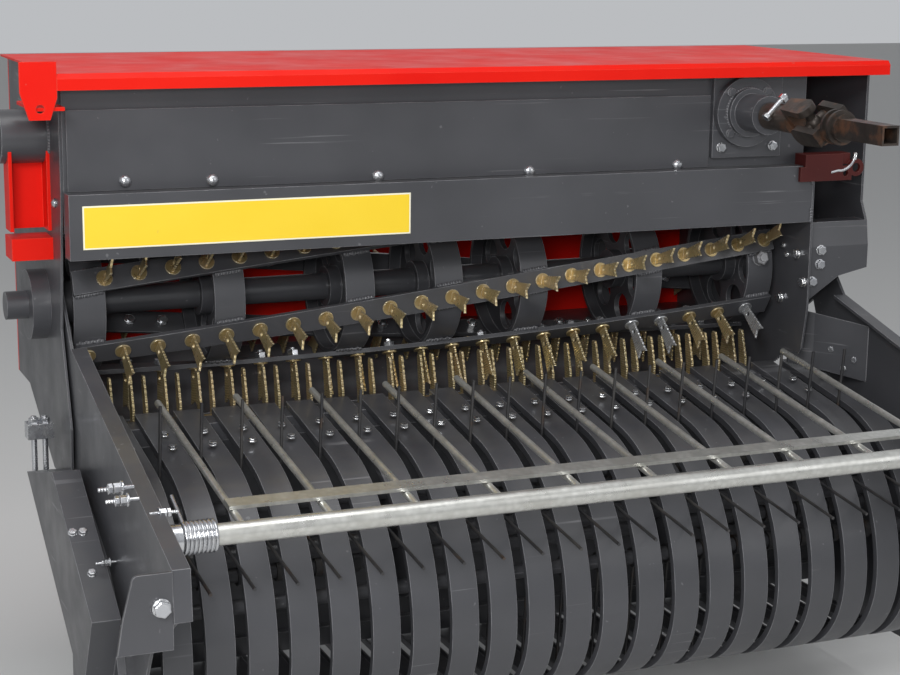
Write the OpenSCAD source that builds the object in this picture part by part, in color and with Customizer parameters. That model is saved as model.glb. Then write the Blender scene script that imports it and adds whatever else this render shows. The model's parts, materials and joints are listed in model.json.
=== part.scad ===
// Pick-up header with a straw-chopping rotor, from the front of a towed square baler.
// X runs across the machine (left to right as seen from the front), Y runs back, Z up.
// The origin is the centre of the four frame bolts, on the header's rear face.

/* [Rotor housing] */
// Inner width between the housing's side sheets
house_w = 1440; // [1200:10:1800]
// Thickness of the housing's side sheets
house_t = 4; // [3:0.5:6]
// Distance from the rear face forward to the rotor axis
rotor_back = 300; // [280:5:360]
// Height of the housing's top above the rotor axis
house_top = 420; // [400:5:500]
// Thickness of the rear wall
rear_t = 8; // [5:1:12]
// Height of the crop outlet in the rear wall
outlet_h = 140; // [100:5:170]
// Distance from a side sheet to the outlet's side edge
outlet_side = 100; // [60:5:140]
// Distance of the frame bolts from the housing's ends
bolt_side = 50; // [30:1:70]
// Distance between the frame bolts in height
bolt_z = 220; // [160:10:260]
// Diameter of a frame bolt hole
bolt_d = 17.5; // [13:0.5:22]

/* [Front panels] */
// Height of the channel beam over the rotor
beam_h = 110; // [90:5:120]
// Depth of the channel beam
beam_d = 40; // [30:2:44]
// Sheet thickness of the channel beam
beam_t = 5; // [3:0.5:8]
// Height of the cover plate above the channel beam
cover_h = 136; // [110:2:160]
// Thickness of the cover plate
cover_t = 6; // [3:0.5:8]
// Length of the blank yellow plate
label_l = 582; // [300:10:700]
// Height of the blank yellow plate
label_h = 73; // [50:1:90]
// Drop of the red hood's front lip
lip_h = 27; // [18:1:36]

/* [Rotor] */
// Radius to the outer face of the helical knife bars
bar_r = 133; // [128:1:140]
// Width of a knife bar
bar_w = 42; // [34:1:50]
// Thickness of a knife bar
bar_t = 8; // [6:0.5:10]
// Number of knife bars
bar_n = 6; // [4:1:6]
// Twist of the knife bars over the rotor's length, degrees
bar_twist = 63.8; // [40:0.2:72]
// Gap between an end of the rotor drum and the side sheet
rotor_gap = 22; // [18:1:60]
// Diameter of the rotor shaft
shaft_d = 50; // [40:1:60]
// Width of the flat rim on each rotor disc
rim_w = 56; // [40:1:64]
// Radius of the rotor's knife tips
tip_r = 205; // [190:1:208]
// Distance from one knife to the next along a bar
knife_pitch = 61.4; // [56:0.2:70]
// Thickness of a knife blade
knife_t = 4; // [3:0.5:5]
// Width of a knife blade at its foot
knife_root = 18; // [14:1:22]
// Width of a knife blade at its tip
knife_tip = 28; // [20:1:30]
// Angle that a blade is turned about its own length, degrees
knife_turn = 12; // [0:1:14]
// Depth of the notch in a blade's tip
knife_notch = 9; // [4:1:14]
// Number of teeth along each edge of a blade
knife_teeth = 7; // [4:1:8]
// Diameter of the round foot that a blade stands on
foot_d = 28; // [22:1:32]

/* [Comb] */
// Distance between the two legs of a fixed knife, centre to centre
comb_gap = 24; // [24:0.1:28]
// Width of a fixed knife, front to back
comb_w = 20; // [14:1:22]
// Height of the fixed knives above their beam
comb_h = 84; // [60:1:86]
// Distance that a fixed knife's tip leans back
comb_lean = 14; // [6:1:16]

/* [Pick-up] */
// Gap between the left side sheet and the pick-up's left bay
left_gap = 9; // [9:1:20]
// Distance that the pick-up reaches past the right side sheet
overhang = 111; // [90:1:125]
// Distance from one stripper band to the next
band_pitch = 70; // [64:1:76]
// Width of a stripper band
band_w = 48; // [40:1:52]
// Sheet thickness of a stripper band
band_t = 3; // [2:0.5:4]
// Depth of a stripper band's side flanges
band_d = 12; // [8:1:14]
// Depth of the two cross rails that carry the bands
rail_d = 34; // [28:1:40]
// Wall thickness of the cross rails
rail_t = 4; // [3:0.5:5]
// Height of the lower cross rail
rail_h = 36; // [28:1:44]
// Thickness of the pick-up's side plates
plate_t = 5; // [4:0.5:8]
// Width of the lip along a side plate's upper edge
lip_w = 22; // [14:1:28]
// Radius of the tine tips
tine_r = 264; // [240:1:266]
// Gap between the tine tips and the sheet behind them
tine_gap = 8; // [6:1:10]
// Diameter of the tine wire
tine_d = 5.5; // [4:0.5:7]
// Radius from the reel axis to a tine bar
tine_bar_r = 88; // [76:1:90]
// Number of tine bars
tine_bar_n = 4; // [3:1:5]

/* [Wind guard] */
// Outer diameter of the wind guard's tube
guard_d = 33.7; // [28:0.1:42]
// Diameter of a guard rod
rod_d = 12; // [8:0.5:16]
// Reach of a guard rod behind the tube's axis
rod_reach = 518; // [420:2:520]
// Outer diameter of the torsion spring
spring_d = 51; // [48:1:60]
// Wire diameter of the torsion spring
spring_wire = 6.5; // [4:0.5:7]

/* [Drive] */
// Outer radius of the input bearing's flange
flange_r = 66; // [56:1:70]
// Outer radius of the input bearing's hub
hub_r = 36; // [30:1:44]
// Length of the input bearing, from its seat forward
hub_l = 100; // [80:2:120]
// Diameter of the input shaft
input_d = 35; // [30:1:40]
// Distance from the input bearing's seat forward to the joint's centre
cross_y = 252; // [230:2:290]
// Outer radius of a yoke's ear
ear_r = 19; // [16:1:21]
// Thickness of a yoke's ear
ear_t = 13; // [10:1:15]
// Angle at which the joint stands, turned about its own axis
joint_a = 50; // [0:5:90]
// Length of the second yoke's tube, forward from the joint's centre
tube_l = 230; // [200:5:300]
// Side of the square drive tube
tube_s = 34; // [28:1:34]

/* [Hidden] */
$fn = 48;
eps = 0.01;
// Gap between flat faces of bodies that move past each other, and between seated solids
seat = 0.3;
// Gap under a knife's foot, which clears the rise of the twisted bar at the foot's rim
knife_seat = 0.45;
// Radial clearance of a pin or shaft that turns in a bore
run = 0.05;

grey = [0.27, 0.275, 0.29];
red = [0.85, 0.09, 0.07];
gold = [0.62, 0.47, 0.22];
zinc = [0.74, 0.75, 0.76];
galv = [0.68, 0.66, 0.61];
wire = [0.24, 0.24, 0.25];
yellow = [0.96, 0.83, 0.15];

hx = house_w / 2;
ry = -rotor_back;
rotor_l = house_w - 2 * rotor_gap;
disc_end = rotor_l / 2 - rim_w / 2;

// Pan under the rotor: an arc round the knife tips, then a ledge back to the rear wall
floor_r = tip_r + 13;
pan_a = 50;
pan_t = 4;
ledge_z = -floor_r * cos(pan_a);
outlet_z = 32;

// Front of the housing: panel, channel beam and cover share one seat plane
panel_y = ry - 174;
seat_y = panel_y - 6;
beam_z = 110;
beam_top = beam_z + beam_h;
beam_y = seat_y - beam_d;
hood_y = panel_y - 66;
hood_x0 = -hx - 17;
// Right end of the hood and of the drive bay beside the housing
bay_x = hx + overhang + 38;
bay_y = beam_y + 20;
bay_z = 10;

// Beam of the fixed knives
comb_y0 = ry - 106;
comb_y1 = ry - 66;
comb_z = -210;

// Number of knives on a bar, as many as the drum carries
knife_n = floor((rotor_l - 40) / knife_pitch) + 1;
foot_t = 3;

// Pick-up: the stripper bands follow a large arc, then run back to the comb at a slope
px0 = -hx + left_gap;
px1 = hx + overhang;
pick_w = px1 - px0;
pick_x = (px0 + px1) / 2;
arc_y = ry - 303;
arc_z = -493;
arc_r = 272;
low_r = 170;
low_y = arc_y - arc_r + low_r;
slope = 9;
band_end = ry - 112;
band_n = floor((pick_w - 100) / band_pitch) + 1;
band_x0 = pick_x - band_pitch * (band_n - 1) / 2;
rail_y = band_end - 4;
rail_z = under_z(rail_y) - rail_h - 2;
low_rail_z = arc_z - low_r + band_d;
reel_y = ry - 384;
reel_z = -378;
// Side arm: its inner face, depth of the channel, slope and the pad behind it
pad_t = 13;
arm_x = px0 - plate_t - pad_t;
arm_d = 46;
arm_slope = 29.3;
// Lean of a tine from the radius at its tip, and at its bar
lean_tip = 14;
lean_bar = asin(tine_r * sin(lean_tip) / tine_bar_r);

// Wind guard
gy = ry - 706;
gz = -228;
rod_n = floor((band_n - 1) / 2);
rod_x0 = band_x0 + band_pitch;
boss_r = 75;

// Input drive
in_x = hx - 144;
in_z = 325;
cy = seat_y - cross_y;
cross_z = in_z - 23;
cross_r = 46;
ear_in = 27;
pin_r = 9;
yoke_r = 25;
// The base of a fork, and where its hub starts, measured from the joint's centre
fork_y0 = 44;
fork_y1 = 58;

// Angle of knife bar k at station x, measured up from straight ahead
function bar_a(k, x) = -34.5 + bar_twist * (x + disc_end) / rotor_l + 360 / bar_n * k;
function knife_x(k, i) = -(knife_n - 1) * knife_pitch / 2 + knife_pitch * i
    + (k % 2 == 0 ? 2 : knife_pitch / 2 + 2);

// Turns a shape drawn in (y, z) into a sheet of thickness t that starts at x
module sheet_x(x, t) {
    translate([x, 0, 0]) rotate([90, 0, 90]) linear_extrude(t) children();
}

// A cylinder along X from x0 to x1 at (y, z)
module rod_x(x0, x1, y, z, r) {
    translate([x0, y, z]) rotate([0, 90, 0]) cylinder(h = x1 - x0, r = r);
}

// A cylinder along Y from y0 to y1 at (x, z)
module rod_y(y0, y1, x, z, r) {
    translate([x, y1, z]) rotate([90, 0, 0]) cylinder(h = y1 - y0, r = r);
}

module box(x0, x1, y0, y1, z0, z1) {
    translate([x0, y0, z0]) cube([x1 - x0, y1 - y0, z1 - z0]);
}

// Puts a shape at station x and angle a of the rotor; its local +Z points outward
module on_rotor(x, a) {
    translate([x, ry, 0]) rotate([90 - a, 0, 0]) children();
}

// Rear wall with the crop outlet and the four frame bolt holes
module rear_wall() {
    color(red) difference() {
        box(-hx - house_t, hx + house_t, -rear_t, 0, ledge_z - 45, house_top - 4);
        box(-hx + outlet_side, hx - outlet_side, -rear_t - 1, 1, outlet_z, outlet_z + outlet_h);
        for (sx = [-1, 1], sz = [-1, 1])
            rod_y(-rear_t - 1, 1, sx * (hx - bolt_side), sz * bolt_z / 2, bolt_d / 2);
    }
}

// A housing side sheet; its front edge follows the points given in (y, z), top first
module side_sheet(x, front) {
    difference() {
        sheet_x(x, house_t) polygon(concat([[panel_y, house_top - 4], [panel_y, beam_top]], front,
            [[ry - 201, -183], [ry - 190, -290], [ry - 40, -290], [ry + 182, ledge_z - 45],
            [-rear_t, ledge_z - 45], [-rear_t, house_top - 4]]));
        rod_x(x - 1, x + house_t + 1, ry, 0, 45);
    }
}

module side_sheet_left() color(grey) {
    side_sheet(-hx - house_t, [[panel_y + 22, 60], [ry - 140, -21]]);
    // Ring on the inner face that the pick-up's left plate swings on
    difference() {
        rod_x(-hx, -hx + 14, ry, 0, boss_r);
        rod_x(-hx - 1, -hx + 15, ry, 0, 45);
    }
}

// Right side sheet, which covers the channel beam's end, with the drive bay outside it
module side_sheet_right() color(grey) {
    difference() {
        side_sheet(hx, [[beam_y, beam_top], [beam_y, -60]]);
        // Room for the tines, the sheet behind them and the upper cross rail, with the pick-up
        // down and lifted
        sheet_x(hx - 1, house_t + 2) translate([ry, 0]) for (a = [0 : 2 : 12]) rotate(-a) {
            translate([reel_y - ry, reel_z]) circle(r = tine_r + tine_gap + 14, $fn = 96);
            translate([rail_y - rail_d - 10 - ry, rail_z - 10])
                square([rail_d + 20, under_z(rail_y) - rail_z + 20]);
        }
    }
    // Tube on the outer face that the pick-up's right plate swings on
    difference() {
        rod_x(hx + house_t, px1 + plate_t + 8, ry, 0, boss_r);
        rod_x(hx + house_t - 1, px1 + plate_t + 9, ry, 0, boss_r - 8);
    }
    drive_bay(hx + house_t + seat);
}

// Sheet bent round the drive bay from x0: front with a folded top, outer side, rear
module drive_bay(x0) {
    difference() {
        sheet_x(x0, bay_x - x0) polygon([[bay_y, -60], [bay_y, 56], [bay_y + 8, beam_z - 6],
            [bay_y + 48, beam_z - 6], [bay_y + 48, beam_z - 10], [bay_y + 12, beam_z - 10],
            [bay_y + 5, 56], [bay_y + 5, -60]]);
        // Lower edge, which rises to clear the lifted pick-up
        translate([0, bay_y + 6, 0]) rotate([90, 0, 0]) linear_extrude(7) polygon([[x0 - 1, -61],
            [bay_x + 1, -61], [bay_x + 1, bay_z], [px1 - lip_w - 5, -4], [x0 + 7, -52], [x0 - 1, -52]]);
    }
    sheet_x(bay_x - 5, 5) polygon([[bay_y, bay_z], [bay_y, 56], [bay_y + 8, beam_z - 6],
        [panel_y, beam_z + 30], [panel_y, house_top - 4], [-rear_t, house_top - 4],
        [-rear_t, bay_z]]);
    box(x0, bay_x, -rear_t - 5, -rear_t, bay_z, house_top - 4);
}

// Panel that closes the housing above the rotor
module front_panel() color(grey) difference() {
    box(-hx, hx, seat_y, panel_y, 150, house_top - 4);
    rod_y(seat_y - 1, panel_y + 1, in_x, in_z, input_d / 2 + 4);
}

// Channel beam, open to the rear, with closed ends
module channel_beam() color(grey) difference() {
    box(-hx, hx, beam_y, seat_y, beam_z, beam_top);
    box(-hx + beam_t, hx - beam_t, beam_y + beam_t, seat_y + 1,
        beam_z + beam_t, beam_top - beam_t);
}

module cover_plate() color(grey)
    box(-hx + 6, in_x - 71, seat_y - cover_t, seat_y, beam_top + 0.5, beam_top + 0.5 + cover_h);

module label_plate() color(yellow)
    translate([-hx + 22, beam_y - 1.5, beam_z + 18]) cube([label_l, 1.5, label_h]);

// Red hood: a folded sheet over the housing, wider than it on the right
module top_hood() color(red)
    sheet_x(hood_x0, bay_x - hood_x0) polygon([[hood_y + 7, house_top], [0, house_top],
        [0, house_top - 4], [hood_y + 8, house_top - 4], [hood_y + 4, house_top - 9],
        [hood_y + 4, house_top - lip_h], [hood_y, house_top - lip_h], [hood_y, house_top - 8]]);

// Red bracket at the hood's left end, with the post and the block below the cross tube
module hood_leg() color(red) {
    x1 = -hx - house_t;
    translate([0, hood_y + 6, 0]) rotate([90, 0, 0]) linear_extrude(6) difference() {
        polygon([[hood_x0 - 60, house_top + 20], [hood_x0, house_top + 20],
            [hood_x0, house_top - 38], [hood_x0 - 12, house_top - 74],
            [hood_x0 - 46, house_top - 74], [hood_x0 - 60, house_top - 30]]);
        translate([hood_x0 - 28, house_top - 56]) circle(r = 7);
    }
    // Tie from the bracket's foot to the side sheet
    box(hood_x0 - 40, x1, hood_y + 6, ry - 92 - seat, house_top - 60, house_top - 54);
    difference() {
        box(x1 - 70, x1, ry - 88, ry - 40, 143, cross_z - 22);
        box(x1 - 64, x1 - 6, ry - 89, ry - 46, 140, cross_z);
        rod_x(x1 - 71, x1 + 1, ry - 47, cross_z, cross_r + seat);
    }
    box(x1 - 70, x1, ry - 96, ry - 30, 94, 132);
}

// Round tube of the machine's frame, which ends against the left side sheet
module cross_tube() color(grey) difference() {
    rod_x(-hx - house_t - 80, -hx - house_t, ry - 47, cross_z, cross_r);
    rod_x(-hx - house_t - 81, -hx - house_t + 1, ry - 47, cross_z, cross_r - 6);
}

// Dark red rest for the drive line, on the right end of the channel beam
module shaft_rest() color(red) {
    difference() {
        union() {
            box(hx - 34, hx + 82, beam_y - 8, beam_y, beam_top - 30, beam_top - 2);
            box(hx - 24, hx + 82, beam_y, beam_y + 30, beam_top + seat, beam_top + 22);
            box(hx - 24, hx + 60, beam_y - 8, beam_y, beam_top - 30, beam_top + 22);
        }
        rod_y(beam_y - 9, beam_y + 1, hx + 68, beam_top - 16, 6);
    }
    // Eye that stands at its end
    difference() {
        rod_y(beam_y - 8, beam_y, hx + 92, beam_top - 6, 17);
        rod_y(beam_y - 9, beam_y + 1, hx + 92, beam_top - 6, 9);
    }
}

// Beam that carries the fixed knives
module comb_beam() color(grey) difference() {
    box(-hx, hx, comb_y0, comb_y1, comb_z - 50, comb_z);
    box(-hx - 1, hx + 1, comb_y0 + 5, comb_y1 - 5, comb_z - 45, comb_z - 5);
}

// Fixed knives: U-shaped pairs of legs that the rotor's knives pass between
module counter_knives() color(gold) {
    n = 5;
    y0 = comb_y0 + 2;
    top = comb_z + comb_h;
    for (i = [0 : knife_n - 1]) if (knife_x(1, i) < rotor_l / 2 - 14) {
        for (s = [-1, 1])
            sheet_x(knife_x(1, i) + s * comb_gap / 2 - knife_t / 2, knife_t) polygon(concat(
                [[y0, comb_z]],
                [for (j = [0 : 2 * n]) [y0 + comb_lean * j / 2 / n + (j % 2) * 1.6,
                    comb_z + 32 + (comb_h - 42) * j / 2 / n]],
                [[y0 + comb_lean + 5, top], [y0 + comb_lean + comb_w - 5, top],
                    [y0 + comb_lean + comb_w - 2, top - 6], [y0 + comb_w, comb_z]]));
        box(knife_x(1, i) - comb_gap / 2, knife_x(1, i) + comb_gap / 2, y0, y0 + comb_w,
            comb_z, comb_z + knife_t);
    }
}

// Floor pan: an arc round the knife tips, then a ledge back to the rear wall
module floor_sheet() color(grey) sheet_x(-hx, house_w) {
    start = asin((ry - comb_y1) / (floor_r + pan_t));
    translate([ry, 0]) intersection() {
        difference() {
            circle(r = floor_r + pan_t, $fn = 96);
            circle(r = floor_r, $fn = 96);
        }
        polygon([[0, 0], 2 * floor_r * [-sin(start), -cos(start)], [0, -3 * floor_r],
            2 * floor_r * [sin(pan_a), -cos(pan_a)]]);
    }
    translate([ry + floor_r * sin(pan_a), ledge_z - pan_t])
        square([-rear_t - ry - floor_r * sin(pan_a), pan_t]);
}

// Plate that carries the input bearing
module bearing_plate() color(grey) difference() {
    box(in_x - 66, in_x + 84, seat_y - 10, seat_y, beam_top + 18, house_top - 4);
    rod_y(seat_y - 11, seat_y + 1, in_x, in_z, input_d / 2 + 4);
}

// Input bearing housing: a round flange and a hub
module input_hub() color(grey) difference() {
    union() {
        rod_y(seat_y - 26, seat_y - 10, in_x, in_z, flange_r);
        rod_y(seat_y - hub_l, seat_y - 26, in_x, in_z, hub_r);
        rod_y(seat_y - 38, seat_y - 26, in_x, in_z, hub_r + 10);
    }
    rod_y(seat_y - hub_l - 1, seat_y, in_x, in_z, input_d / 2 + run);
}

module rotor_bearing(x0, x1) difference() {
    rod_x(x0, x1, ry, 0, 62);
    rod_x(x0 - 1, x1 + 1, ry, 0, shaft_d / 2 + run);
}

module rotor_bearing_left() color(grey) rotor_bearing(-hx - house_t - 32, -hx - house_t);
module rotor_bearing_right() color(grey) rotor_bearing(hx + house_t, hx + house_t + 32);

module rotor_shaft() color(grey)
    rod_x(-hx - house_t - 70, hx + house_t + 40, ry, 0, shaft_d / 2);

// Discs with flat rims, hubs and lightening holes
module rotor_discs() color(grey)
    for (s = disc_end * [-1, -0.627, -0.261, 0, 0.261, 0.627, 1]) difference() {
        rod_x(s - rim_w / 2, s + rim_w / 2, ry, 0, bar_r - bar_t - seat);
        difference() {
            rod_x(s - rim_w / 2 - 1, s + rim_w / 2 + 1, ry, 0, bar_r - bar_t - 8);
            rod_x(s - 5, s + 5, ry, 0, bar_r);
            rod_x(s - rim_w / 2, s + rim_w / 2, ry, 0, 38);
        }
        rod_x(s - rim_w, s + rim_w, ry, 0, shaft_d / 2);
        for (k = [0 : bar_n - 1])
            on_rotor(s - 6, bar_a(k, s) + 30) translate([0, 0, 78])
                rotate([0, 90, 0]) cylinder(h = 12, r = 28);
    }

// Helical knife bars
module rotor_bars() color(grey)
    for (k = [0 : bar_n - 1])
        translate([-rotor_l / 2, ry, 0]) rotate([0, 90, 0])
            rotate([0, 0, 180 - bar_a(k, -rotor_l / 2)])
                linear_extrude(rotor_l, twist = bar_twist, slices = 48, segments = 4)
                    translate([-bar_w / 2, bar_r - bar_t]) square([bar_w, bar_t]);

// One knife: a flared blade with toothed edges and a notched tip on a round foot.
// Local +Z points outward from the bar, local Y along the turning direction.
module knife() {
    root = bar_r + knife_seat + foot_t;
    h = tip_r - root;
    // One toothed edge, from the foot to the tip; s picks the side
    function edge(s) = [for (j = [0 : 2 * knife_teeth])
        let (z = 9 + (h - 14) * j / 2 / knife_teeth)
        [s * (knife_root / 2 + (knife_tip - knife_root) / 2 * z / h - 1.2 * (j % 2)), z]];
    translate([0, 0, bar_r + knife_seat]) cylinder(h = foot_t, d = foot_d, $fn = 32);
    rotate([0, 0, -knife_turn]) translate([-knife_t / 2, 0, root]) rotate([90, 0, 90])
        linear_extrude(knife_t) difference() {
            polygon(concat([[knife_root / 2, -1]], edge(1),
                [[knife_tip / 2, h], [0, h - knife_notch], [-knife_tip / 2, h]],
                [for (j = [2 * knife_teeth : -1 : 0]) edge(-1)[j]], [[-knife_root / 2, -1]]));
            translate([0, 15]) circle(r = 4.5, $fn = 24);
        }
}

// A knife is bright where a newer one was fitted
function is_bright(k, i) = k == 5 && (i == 21 || i == 18 || i == 17);

module knives(bright)
    for (k = [0 : bar_n - 1], i = [0 : knife_n - 1])
        if (knife_x(k, i) < rotor_l / 2 - 14 && is_bright(k, i) == bright)
            on_rotor(knife_x(k, i), bar_a(k, knife_x(k, i))) knife();

module rotor_knives() color(gold) knives(false);
module rotor_knives_bright() color(zinc) knives(true);

// Outline of a pick-up side plate in (y, z)
module plate_outline() translate([ry, 0]) {
    polygon([[-852, -224], [-180, -47], [-74, 74], [0, 0], [-74, -74], [-112, -160],
        [-112, -680], [-540, -680], [-605, -560], [-710, -400], [-860, -300]]);
    circle(r = boss_r + 30);
}

module pickup_side(x, lip_x) {
    difference() {
        sheet_x(x, plate_t) plate_outline();
        rod_x(x - 1, x + plate_t + 1, ry, 0, boss_r + run);
        rod_x(x - 1, x + plate_t + 1, reel_y, reel_z, 17.5 + run);
    }
    sheet_x(lip_x, lip_w) translate([ry, 0]) polygon([[-852, -224], [-180, -47], [-180, -53],
        [-846, -228.5], [-854, -300], [-860, -300]]);
}

module pickup_side_left() color(grey) pickup_side(px0 - plate_t, px0);
module pickup_side_right() color(grey) pickup_side(px1, px1 - lip_w);

// Stripper band outline, drawn in by o from the outer face, in (y, z)
module band_outline(o, over) {
    ty = arc_y - (arc_r - o) * sin(slope);
    tz = arc_z + (arc_r - o) * cos(slope);
    ey = band_end + over;
    intersection() {
        translate([arc_y, arc_z]) circle(r = arc_r - o, $fn = 96);
        translate([-900, arc_z]) square([900 + ty, 400]);
    }
    intersection() {
        translate([low_y, arc_z]) circle(r = low_r - o, $fn = 96);
        translate([-900, arc_z - 400]) square([900 + low_y + 30, 420]);
    }
    polygon([[ty, tz], [ey, tz + (ey - ty) * tan(slope)], [ey, arc_z - low_r + o],
        [low_y, arc_z - low_r + o], [low_y, arc_z], [low_y - low_r + o, arc_z]]);
}

module stripper_bands() color(grey)
    for (k = [0 : band_n - 1]) translate([band_x0 + band_pitch * k, 0, 0]) difference() {
        sheet_x(-band_w / 2, band_w) difference() {
            band_outline(0, 0);
            band_outline(band_d, 1);
        }
        sheet_x(-band_w / 2 + band_t, band_w - 2 * band_t) difference() {
            band_outline(band_t, 1);
            band_outline(band_d + 1, 2);
        }
    }

// Height of the underside of the bands' flanges at y
function under_z(y) = let (ty = arc_y - (arc_r - band_d) * sin(slope))
    arc_z + (arc_r - band_d) * cos(slope) + (y - ty) * tan(slope);

module top_rail() color(grey) sheet_x(px0, pick_w) difference() {
    y0 = rail_y - rail_d;
    polygon([[y0, rail_z], [rail_y, rail_z], [rail_y, under_z(rail_y)], [y0, under_z(y0)]]);
    polygon([[y0 + rail_t, rail_z + rail_t], [rail_y - rail_t, rail_z + rail_t],
        [rail_y - rail_t, under_z(rail_y) - rail_t - 1], [y0 + rail_t, under_z(y0) - rail_t - 1]]);
}

module bottom_rail() color(grey) sheet_x(px0, pick_w) difference() {
    translate([rail_y - rail_d, low_rail_z]) square([rail_d, rail_h]);
    translate([rail_y - rail_d + rail_t, low_rail_z + rail_t])
        square([rail_d - 2 * rail_t, rail_h - 2 * rail_t]);
}

// Sheet behind the reel: an arc round the tine tips between the two cross rails
module rear_sheet() color(grey) sheet_x(px0, pick_w) {
    r = tine_r + tine_gap;
    a = 25;
    translate([reel_y, reel_z]) intersection() {
        difference() {
            circle(r = r + 3, $fn = 96);
            circle(r = r, $fn = 96);
        }
        polygon([[0, 0], 2 * r * [cos(a), -sin(a)], [2 * r, rail_z - seat - reel_z],
            [0, rail_z - seat - reel_z]]);
    }
    y1 = reel_y + (r + 3) * cos(a);
    top = reel_z - r * sin(a) - 1;
    translate([y1 - 3, low_rail_z + rail_h + seat]) square([3, top - low_rail_z - rail_h - seat]);
}

// Guide sheet that narrows the pick-up to the rotor's width on the right
module deflector() color(grey) difference() {
    x0 = hx + house_t + 5;
    xb = x0 + 0.38 * (px1 - x0);
    translate([0, ry, -225]) linear_extrude(170) polygon([[x0, -144], [xb, -180],
        [px1, -268], [px1, -274], [xb - 3, -183], [x0, -149]]);
    // Underside follows the bands, top edge falls to the right
    sheet_x(x0 - 40, px1 - x0 + 80) translate([ry, 0])
        polygon([[-400, -240], [-100, -240], [-100, -178.5], [-400, -226]]);
    translate([0, ry - 100, 0]) rotate([90, 0, 0]) linear_extrude(200)
        polygon([[x0 - 40, -63], [px1 + 10, -97], [px1 + 10, 0], [x0 - 40, 0]]);
}

// Pivot stubs on the side plates, inside the ends of the guard tube
module guard_pivots() color(zinc) {
    rod_x(px0, px0 + 46 - seat, gy, gz, 22);
    rod_x(px0 + 46 - seat, px0 + 106, gy, gz, guard_d / 2 - 3 - run);
    rod_x(px1 - 11, px1, gy, gz, 22);
    rod_x(px1 - 70, px1 - 11, gy, gz, guard_d / 2 - 3 - run);
}

// Closely wound torsion spring round the left end of the tube
module guard_spring() color(zinc) {
    n = 8;
    translate([px0 + 46, gy, gz]) rotate([0, 90, 0]) rotate_extrude() intersection() {
        union() {
            for (i = [0 : n - 1]) translate([spring_d / 2 - spring_wire / 2, spring_wire * (i + 0.5)])
                circle(r = spring_wire / 2 + 0.1, $fn = 24);
        }
        square([spring_d, spring_wire * n + 2]);
    }
    // Leg that runs back to a stud on the side plate
    translate([px0 + 46 + spring_wire / 2, gy, gz + spring_d / 2 - spring_wire / 2])
        rotate([-70, 0, 0]) translate([0, 0, 0]) cylinder(h = 70, r = spring_wire / 2, $fn = 24);
}

// Outward bracket at the lower front of the left plate
module side_bracket() color(grey)
    translate([px0 - plate_t, ry - 850, 0]) rotate([90, 0, 0]) linear_extrude(6) difference() {
        union() {
            polygon([[0, -225], [-48, -225], [-58, -235], [-71, -286], [-80, -340], [0, -340]]);
            translate([-48, -235]) circle(r = 10);
        }
        translate([-24, -276]) circle(r = 8);
    }

// Outline of the side arm in (y, z) about the rotor axis, drawn in by o
module arm_shape(o) rotate(180 + arm_slope)
    polygon([[188 + 2.475 * o, 227 - o], [366 + 0.405 * o, 55 + o], [696 - o, 55 + o],
        [696 - o, 227 - o]]);

// Channel-section arm outside the left plate, on the pad that carries it
module side_arm() color(grey) {
    sheet_x(arm_x, pad_t) translate([ry, 0]) difference() {
        polygon([[-231, -253], [-360, -309], [-423, -338], [-512, -408], [-560, -520],
            [-330, -520], [-215, -380]]);
        // Room for the end of the reel's shaft
        translate([reel_y - ry, reel_z]) circle(r = 26);
    }
    sheet_x(arm_x - arm_d, 6) translate([ry, 0]) arm_shape(0);
    sheet_x(arm_x - arm_d, arm_d) translate([ry, 0]) difference() {
        arm_shape(0);
        arm_shape(6);
    }
}

// Clamp with two threaded rods that stand on the arm's upper end
module arm_clamp() color(zinc) {
    x0 = arm_x - arm_d;
    for (x = [x0 + 5, x0 + 24]) {
        translate([x, ry - 107, -273.7]) cylinder(h = 97, r = 5, $fn = 24);
        translate([x, ry - 107, -188]) cylinder(h = 8, r = 9, $fn = 6);
    }
    box(x0 - 8, x0 + 37, ry - 122, ry - 92, -215, -188);
}

module reel_shaft() color(grey)
    rod_x(px0 - plate_t - 8, px1 + plate_t + 14, reel_y, reel_z, 17.5);

module at_reel(a) translate([0, reel_y, reel_z]) rotate([-a, 0, 0]) children();

// Angle of tine bar k, measured forward from straight up is negative here
function tine_a(k) = 7.6 + lean_bar - lean_tip + 360 / tine_bar_n * k;

module reel_discs() color(grey)
    for (x = [px0 + 24, px0 + pick_w / 3, px0 + 2 * pick_w / 3, px1 - 24]) difference() {
        rod_x(x - 4, x + 4, reel_y, reel_z, tine_bar_r + 14);
        rod_x(x - 5, x + 5, reel_y, reel_z, 17.5);
        for (k = [0 : tine_bar_n - 1]) at_reel(tine_a(k)) translate([x - 5, 0, tine_bar_r])
            rotate([0, 90, 0]) cylinder(h = 10, r = 12.7 + run);
    }

module tine_bars() color(grey)
    for (k = [0 : tine_bar_n - 1]) at_reel(tine_a(k)) translate([px0 + 14, 0, tine_bar_r])
        rotate([0, 90, 0]) cylinder(h = pick_w - 28, r = 12.7);

// Tines: a coil on the bar and a straight leg through each gap between bands
module tines() color(wire) {
    len = tine_r * cos(lean_tip) - tine_bar_r * cos(lean_bar);
    for (k = [0 : tine_bar_n - 1], j = [0 : band_n - 2])
        at_reel(tine_a(k)) translate([band_x0 + band_pitch * (j + 0.5), 0, tine_bar_r]) {
            difference() {
                translate([-6, 0, 0]) rotate([0, 90, 0]) cylinder(h = 12, r = 18);
                translate([-7, 0, 0]) rotate([0, 90, 0]) cylinder(h = 14, r = 12.7 + seat);
            }
            rotate([lean_bar, 0, 0]) translate([0, 0, 14])
                cylinder(h = len - 14, r = tine_d / 2, $fn = 16);
        }
}

module guard_tube() color(galv) difference() {
    rod_x(px0 + 46, px1 - 13, gy, gz, guard_d / 2);
    rod_x(px0 + 45, px1 - 12, gy, gz, guard_d / 2 - 3);
}

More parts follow.
